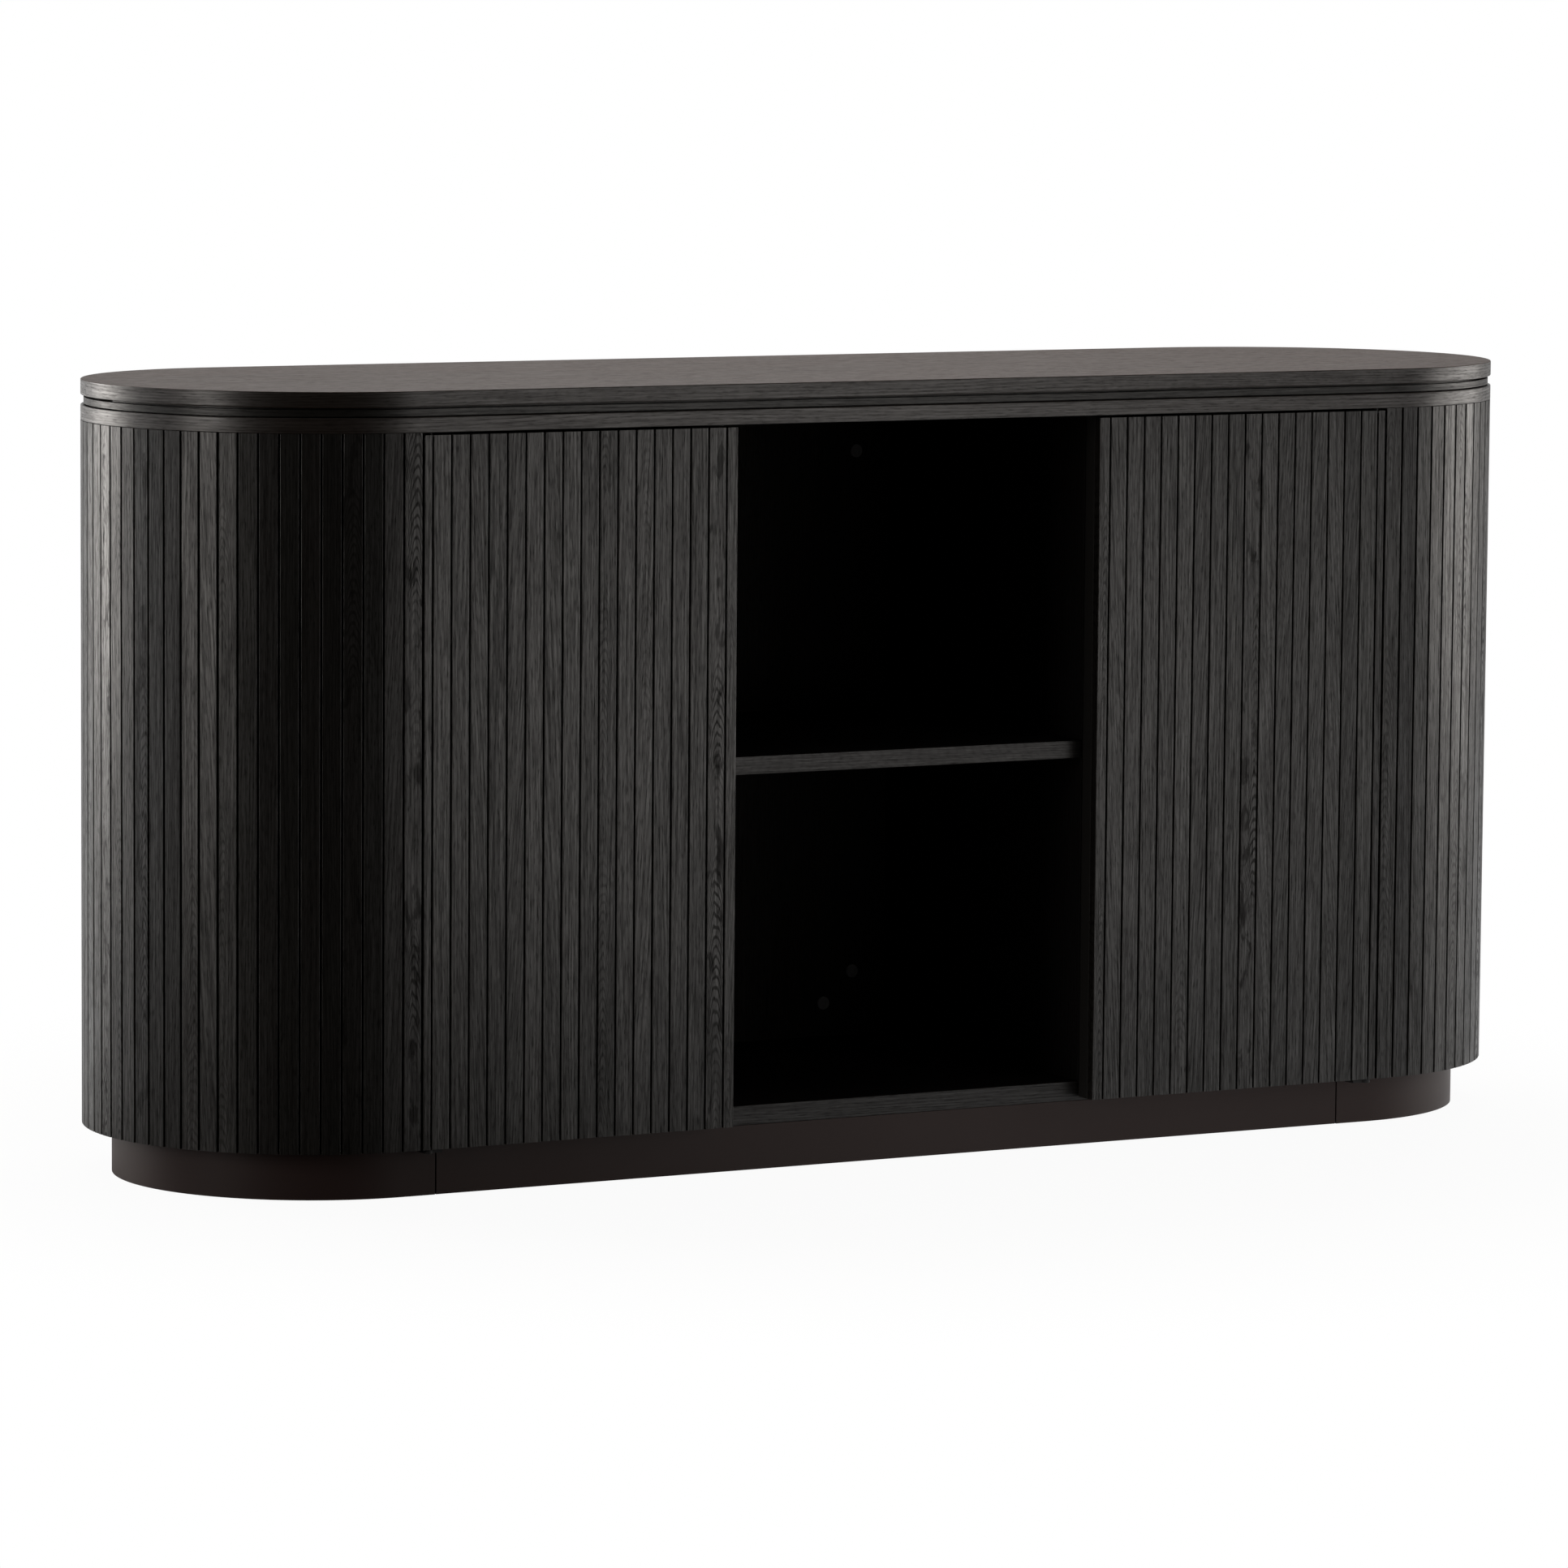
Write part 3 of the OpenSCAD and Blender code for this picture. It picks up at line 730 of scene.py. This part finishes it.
# Ramps over a direction: from where to where it points back, up or right, and the two levels if
# they aren't 0 and 1. The dim room has a pale back wall and ceiling, and the white backdrop that
# reflections see stands behind and dims at the far right
BACK_WALL = (-0.15, 0.55, 0.02, 0.30)
CEILING = (0.2, 1.0, 0.0, 0.20)
BACKDROP = (0.05, 0.50)
FAR_RIGHT = (0.5, 0.74, 1.0, 0.35)

# Ramps over the floor, in metres. Its left front, up to a slanting line, stays dark in reflections
# and dark as paper, and its far right corner loses some of its white
LEFT_FRONT = (-0.8, 0.2)
LEFT_FRONT_SLANT = 0.36
LEFT_FRONT_PAPER = 0.12
BEHIND = (-0.2, 1.0)
CORNER_BACK = (0.8, 1.8)
CORNER_RIGHT = (1.0, 2.0)
CORNER_LOSS = 0.5
# White near the sideboard, where its shadow shows, and further away
WHITENING = (0.6, 1.3, 0.95, 1.0)

# Each softbox: azimuth and elevation in degrees, distance and size in metres, the setting that
# gives its radiance, and its share of that
SOFTBOXES = {
    "key_softbox": (81, 8, 4.5, (3.0, 2.0), "key_light", 1.0),
    "front_softbox": (25, 8, 5.5, (1.3, 2.4), "front_light", 1.0),
    "fill_softbox": (39, 8, 4.5, (1.2, 2.0), "front_light", 0.1),
    "low_front_card": (20, -3, 2.6, (1.6, 0.5), "front_light", 1.0),
    "rim_softbox": (-141, 12, 4.5, (1.8, 2.6), "rim_light", 1.0),
    "side_softbox": (-80, 8, 4.5, (1.1, 2.0), "side_light", 1.0),
    "top_softbox": (150, 68, 3.2, (2.4, 1.4), "top_light", 1.0),
}


def heading(azimuth, elevation):
    """A direction away from the sideboard; azimuth 0 is straight ahead and 90 to the right."""
    a, e = math.radians(azimuth), math.radians(elevation)
    return Vector((math.sin(a) * math.cos(e), -math.cos(a) * math.cos(e), math.sin(e)))


def softbox(name, azimuth, elevation, distance, size, radiance):
    """A rectangular lamp that faces the middle of the sideboard."""
    lamp = bpy.data.lights.new(name, "AREA")
    lamp.shape = "RECTANGLE"
    lamp.size, lamp.size_y = size
    lamp.color = LAMP_TINT
    lamp.energy = radiance * math.pi * size[0] * size[1]
    shown = bpy.data.objects.new(name, lamp)
    bpy.context.scene.collection.objects.link(shown)
    away = heading(azimuth, elevation)
    centre = (CAD_BOX[0] + CAD_BOX[1]) / 2
    facing = away.to_track_quat("Z", "Y").to_matrix().to_4x4()
    shown.matrix_world = Matrix.Translation(centre + away * distance) @ facing
    shown.visible_camera = False


def studio_world():
    """A white backdrop to the camera and in reflections, and a dim room as the light around."""
    world = bpy.data.worlds.new("studio")
    bpy.context.scene.world = world
    world.use_nodes = True
    g = Graph(world.node_tree)
    way = g.place("Generated")
    right, back, up = (g.axis(way, number) for number in range(3))
    room = g.lit(rgba(ROOM_TINT), back.ramp(*BACK_WALL) + up.ramp(*CEILING))
    seen = g.backdrop_rays(back.ramp(*BACKDROP) * right.ramp(*FAR_RIGHT))
    colour = g.mix(seen, room, WHITE)
    background = g.node("ShaderNodeBackground", None, {"Color": colour, "Strength": 1.0})
    g.node("ShaderNodeOutputWorld", None, {"Surface": background})


def studio_floor(colour, reach):
    """A pale floor that keeps the sideboard's shadow and turns white further out."""
    bm = bmesh.new()
    bmesh.ops.create_circle(bm, cap_ends=True, segments=96, radius=reach)
    mesh = bpy.data.meshes.new("studio_floor")
    bm.to_mesh(mesh)
    bm.free()

    material, g = new_material("floor_paper")
    here = g.place()
    right, back = g.axis(here, 0), g.axis(here, 1)
    away = g.node("ShaderNodeVectorMath", {"operation": "LENGTH"}, {0: here}, "Value")
    paper = g.lit(rgba(colour), 0.98 + 0.04 * g.noise(here, *PAPER_CLOUD))
    pale = (right + LEFT_FRONT_SLANT * back).ramp(*LEFT_FRONT).most(back.ramp(*BEHIND))
    corner = back.ramp(*CORNER_BACK) * right.ramp(*CORNER_RIGHT)
    seen = g.backdrop_rays(pale * (1 - CORNER_LOSS * corner))
    paper = g.mix(seen.most(pale.ramp(0.0, 1.0, LEFT_FRONT_PAPER)), BLACK, paper)
    plain = g.node("ShaderNodeBsdfDiffuse", None, {"Color": paper})
    white = g.node("ShaderNodeEmission", None, {"Color": WHITE, "Strength": 1.0})
    lift = seen * away.ramp(*WHITENING)
    g.surface(g.node("ShaderNodeMixShader", None, {0: lift, 1: plain, 2: white}))

    mesh.materials.append(material)
    floor = bpy.data.objects.new("studio_floor", mesh)
    floor.location.z = CAD_BOX[0].z
    bpy.context.scene.collection.objects.link(floor)


# ---- what a user sets ----


def colour_setting(name, description, default):
    return bpy.props.FloatVectorProperty(
        name=name, description=description, default=default, subtype="COLOR", min=0, max=1
    )


def length_setting(name, description, default, **limits):
    return bpy.props.FloatProperty(
        name=name, description=description, default=default, unit="LENGTH", **limits
    )


def angle_setting(name, description, degrees):
    return bpy.props.FloatProperty(
        name=name,
        description=description,
        default=math.radians(degrees),
        unit="ROTATION",
        subtype="ANGLE",
    )


def light_setting(name, description, default):
    return bpy.props.FloatProperty(name=name, description=description, default=default, min=0)


class SideboardFinish(bpy.types.PropertyGroup):
    """Colours and arrises of the sideboard."""

    # On the recessed band, this darker colour is painted shade in its recess
    slat_colour: colour_setting(
        "Slats", "Stain of the slats, recessed band and front edges", (0.0052, 0.0046, 0.0038)
    )
    band_colour: colour_setting(
        "Frieze", "Stain of the frieze and of the top's edge", (0.0110, 0.0080, 0.0061)
    )
    top_colour: colour_setting("Top", "Stain of the top panel", (0.0460, 0.0268, 0.0190))
    inner_colour: colour_setting(
        "Inside", "Stain of the boards inside", (0.0062, 0.0056, 0.0054)
    )
    plinth_colour: colour_setting("Plinth", "Stain of the plinth", (0.0200, 0.0115, 0.0105))
    backing_colour: colour_setting(
        "Backing", "Bent and flat backing boards", (0.006, 0.0055, 0.005)
    )
    steel_colour: colour_setting(
        "Steel", "Powder coat of the hinges and blackening of their screws", (0.010, 0.010, 0.0105)
    )
    zinc_colour: colour_setting("Zinc", "Plating of the screws and pins", (0.62, 0.63, 0.64))
    nylon_colour: colour_setting("Nylon", "Moulded nylon fittings", (0.06, 0.06, 0.062))
    washer_colour: colour_setting(
        "Washers", "Moulded nylon of the hinge washers", (0.012, 0.012, 0.012)
    )
    beech_colour: colour_setting("Beech", "Bare wood of the dowels", (0.55, 0.38, 0.22))
    slat_arris: length_setting("Slat arris", "Rounding of the slats' chamfers", 0.0002, min=0.0)
    board_arris: length_setting("Board arris", "Rounding of the boards' edges", 0.0007, min=0.0)


class SideboardStudio(bpy.types.PropertyGroup):
    """Floor, light and camera."""

    floor_colour: colour_setting("Floor", "Studio floor", (0.60, 0.60, 0.60))
    floor_reach: length_setting("Floor radius", "How far the floor reaches", 30.0, min=5.0)
    key_light: light_setting("Key", "Radiance of the wide softbox on the right", 4.3)
    front_light: light_setting("Front", "Radiance of the softboxes in front on the right", 2.15)
    rim_light: light_setting("Rim", "Radiance of the softbox behind the left end", 8.5)
    side_light: light_setting("Side", "Radiance of the narrow softbox on the left", 7.5)
    top_light: light_setting("Top", "Radiance of the overhead softbox", 6.5)
    eye: bpy.props.FloatVectorProperty(
        name="Camera place",
        description="Where the camera stands",
        default=(-3.9075, -6.9962, 1.2261),
        unit="LENGTH",
        subtype="TRANSLATION",
    )
    turn: angle_setting("Turn", "Camera's turn to the right of straight ahead", 29.018)
    tilt: angle_setting("Tilt", "Camera's tilt below the horizon", 6.1209)
    roll: angle_setting("Roll", "Camera's roll", 0.4387)
    lens: bpy.props.FloatProperty(
        name="Lens", description="Focal length", default=177.78, unit="CAMERA", min=10
    )


# ---- operators ----


class SIDEBOARD_OT_slats(bpy.types.Operator):
    """Cut every slat of the ends and doors from its own strip of oak"""

    bl_idname = "sideboard.slats"
    bl_label = "Slats"

    def execute(self, context):
        finish = context.scene.sideboard_finish
        oak = stained_oak("slat_oak", finish.slat_colour, SLATS)
        for node, batch in BATCHES.items():
            slat_run(node, batch, oak, finish.slat_arris)
        return {"FINISHED"}


class SIDEBOARD_OT_top(bpy.types.Operator):
    """Veneer the top panel, the recessed band and the frieze"""

    bl_idname = "sideboard.top"
    bl_label = "Top and frieze"

    def execute(self, context):
        finish = context.scene.sideboard_finish
        band = stained_oak("band_oak", finish.band_colour, BAND)
        veneer = stained_oak("top_oak", finish.top_colour, TOP)
        # The recessed band takes the slats' darker colour instead of the frieze's, as painted
        # shade in its recess
        lipping = stained_oak("spacer_oak", finish.slat_colour, LIPPING)
        lipped(oak_board("top_panel", level_grain, veneer), band, looks_outward)
        oak_board("frieze_board", level_grain, band)
        oak_board("spacer_board", level_grain, lipping)
        return {"FINISHED"}


class SIDEBOARD_OT_carcass(bpy.types.Operator):
    """Finish the floor board, shelves, uprights and back panel"""

    bl_idname = "sideboard.carcass"
    bl_label = "Carcass"

    def execute(self, context):
        finish = context.scene.sideboard_finish
        inner = stained_oak("inner_oak", finish.inner_colour, INNER)
        edge = stained_oak("edge_oak", finish.slat_colour, LIPPING)
        for node in ("middle_shelf", "left_shelf", "right_shelf", "floor_board"):
            board = oak_board(node, level_grain, inner, finish.board_arris)
            lipped(board, edge, looks_ahead)
        for side in SIDES:
            for part in ("divider", "partition"):
                board = oak_board(f"{side}_{part}", upright_grain, inner, finish.board_arris)
                lipped(board, edge, looks_ahead)
        oak_board("back_panel", upright_grain, inner, finish.board_arris)
        return {"FINISHED"}


class SIDEBOARD_OT_backing(bpy.types.Operator):
    """Finish the door panels, bent shells and battens"""

    bl_idname = "sideboard.backing"
    bl_label = "Backing boards"

    def execute(self, context):
        finish = context.scene.sideboard_finish
        colour = finish.backing_colour
        board = smooth_board("backing_board", colour, roughness=0.62, sheen=0.15)
        for side in SIDES:
            for part in ("door_panel", "end_shell", "end_battens"):
                arris = 0.0 if part == "end_shell" else finish.board_arris
                oak_board(f"{side}_{part}", upright_grain, board, arris)
        return {"FINISHED"}


class SIDEBOARD_OT_plinth(bpy.types.Operator):
    """Finish the plinth, its stretchers and its glue blocks"""

    bl_idname = "sideboard.plinth"
    bl_label = "Plinth"

    def execute(self, context):
        finish = context.scene.sideboard_finish
        board = smooth_board("plinth_oak", finish.plinth_colour, roughness=0.5, sheen=0.17)
        for node in ("front_plinth", "back_plinth", "plinth_stretchers", "plinth_blocks"):
            oak_board(node, level_grain, board, finish.board_arris)
        for side in SIDES:
            oak_board(f"{side}_plinth", level_grain, board)
        return {"FINISHED"}


class SIDEBOARD_OT_hinges(bpy.types.Operator):
    """Finish the pivot hinges of the doors"""

    bl_idname = "sideboard.hinges"
    bl_label = "Hinges"

    def execute(self, context):
        finish = context.scene.sideboard_finish
        steel = fitting(
            "black_steel", finish.steel_colour, roughness=0.6, speckle=2600, sheen=0.2
        )
        nylon = fitting(
            "washer_nylon", finish.washer_colour, roughness=0.6, speckle=3200, sheen=0.2
        )
        for side in SIDES:
            for part in ("plate", "bracket", "leaves", "pins"):
                paint(f"{side}_hinge_{part}", steel)
            paint(f"{side}_hinge_washer", nylon)
        return {"FINISHED"}


class SIDEBOARD_OT_latches(bpy.types.Operator):
    """Finish the push latches and their strikes"""

    bl_idname = "sideboard.latches"
    bl_label = "Latches"

    def execute(self, context):
        finish = context.scene.sideboard_finish
        housing = fitting("latch_nylon", finish.nylon_colour, roughness=0.5, speckle=3200)
        plunger = fitting("latch_black", finish.steel_colour, roughness=0.4, speckle=2600)
        strike = fitting(
            "strike_zinc", finish.zinc_colour, roughness=0.3, speckle=1800, metallic=1.0
        )
        for side in SIDES:
            paint(f"{side}_latch_housing", housing)
            paint(f"{side}_latch_plunger", plunger)
            paint(f"{side}_latch_strike", strike)
        return {"FINISHED"}


class SIDEBOARD_OT_screws(bpy.types.Operator):
    """Cut the cross recesses and points of all the screws"""

    bl_idname = "sideboard.screws"
    bl_label = "Screws"

    def execute(self, context):
        finish = context.scene.sideboard_finish
        zinc = fitting(
            "screw_zinc", finish.zinc_colour, roughness=0.36, speckle=2200, metallic=1.0
        )
        black = fitting(
            "screw_black", finish.steel_colour, roughness=0.55, speckle=2200, sheen=0.2
        )
        for part in ("top", "carcass", "back", "plinth"):
            screw_set(f"{part}_screws", zinc)
        for part in ("hinge", "left_leaf", "right_leaf"):
            screw_set(f"{part}_screws", black)
        return {"FINISHED"}


class SIDEBOARD_OT_fittings(bpy.types.Operator):
    """Finish the dowels, shelf pins, cover caps and glides"""

    bl_idname = "sideboard.fittings"
    bl_label = "Small fittings"

    def execute(self, context):
        finish = context.scene.sideboard_finish
        nylon = fitting("moulded_nylon", finish.nylon_colour, roughness=0.55, speckle=3200)
        beech = fitting("bare_beech", finish.beech_colour, roughness=0.7, speckle=900)
        zinc = fitting(
            "pin_zinc", finish.zinc_colour, roughness=0.32, speckle=1800, metallic=1.0
        )
        paint("dowels", beech)
        paint("shelf_pins", zinc)
        for node in ("back_caps", "glides"):
            paint(node, nylon)
        return {"FINISHED"}


class SIDEBOARD_OT_stage(bpy.types.Operator):
    """Lay the floor, hang the softboxes and place the camera"""

    bl_idname = "sideboard.stage"
    bl_label = "Studio"

    def execute(self, context):
        studio = context.scene.sideboard_studio
        studio_world()
        studio_floor(studio.floor_colour, studio.floor_reach)
        for name, (*place, size, light, share) in SOFTBOXES.items():
            softbox(name, *place, size, getattr(studio, light) * share)
        camera = bpy.data.cameras.new("camera")
        camera.sensor_width = 36
        camera.lens = studio.lens
        shown = bpy.data.objects.new("camera", camera)
        context.scene.collection.objects.link(shown)
        shown.matrix_world = (
            Matrix.Translation(studio.eye)
            @ Matrix.Rotation(-studio.turn, 4, "Z")
            @ Matrix.Rotation(math.pi / 2 - studio.tilt, 4, "X")
            @ Matrix.Rotation(studio.roll, 4, "Z")
        )
        context.scene.camera = shown
        context.scene.view_settings.view_transform = "Standard"
        return {"FINISHED"}


class SIDEBOARD_PT_panel(bpy.types.Panel):
    """Lists the sideboard's pieces and settings"""

    bl_idname = "SIDEBOARD_PT_panel"
    bl_label = "Sideboard Buffet"
    bl_space_type = "VIEW_3D"
    bl_region_type = "UI"
    bl_category = "Sideboard"

    def draw(self, context):
        for operator in OPERATORS:
            self.layout.operator(operator.bl_idname)
        for group in (context.scene.sideboard_finish, context.scene.sideboard_studio):
            box = self.layout.box()
            for key in group.__annotations__:
                box.prop(group, key)


OPERATORS = (
    SIDEBOARD_OT_slats,
    SIDEBOARD_OT_top,
    SIDEBOARD_OT_carcass,
    SIDEBOARD_OT_backing,
    SIDEBOARD_OT_plinth,
    SIDEBOARD_OT_hinges,
    SIDEBOARD_OT_latches,
    SIDEBOARD_OT_screws,
    SIDEBOARD_OT_fittings,
    SIDEBOARD_OT_stage,
)
CLASSES = (SideboardFinish, SideboardStudio, *OPERATORS, SIDEBOARD_PT_panel)


def register():
    for item in CLASSES:
        bpy.utils.register_class(item)
    bpy.types.Scene.sideboard_finish = bpy.props.PointerProperty(type=SideboardFinish)
    bpy.types.Scene.sideboard_studio = bpy.props.PointerProperty(type=SideboardStudio)


def unregister():
    del bpy.types.Scene.sideboard_studio
    del bpy.types.Scene.sideboard_finish
    for item in reversed(CLASSES):
        bpy.utils.unregister_class(item)


def main():
    register()
    for operator in OPERATORS:
        group, name = operator.bl_idname.split(".")
        getattr(getattr(bpy.ops, group), name)()


if __name__ == "__main__":
    main()
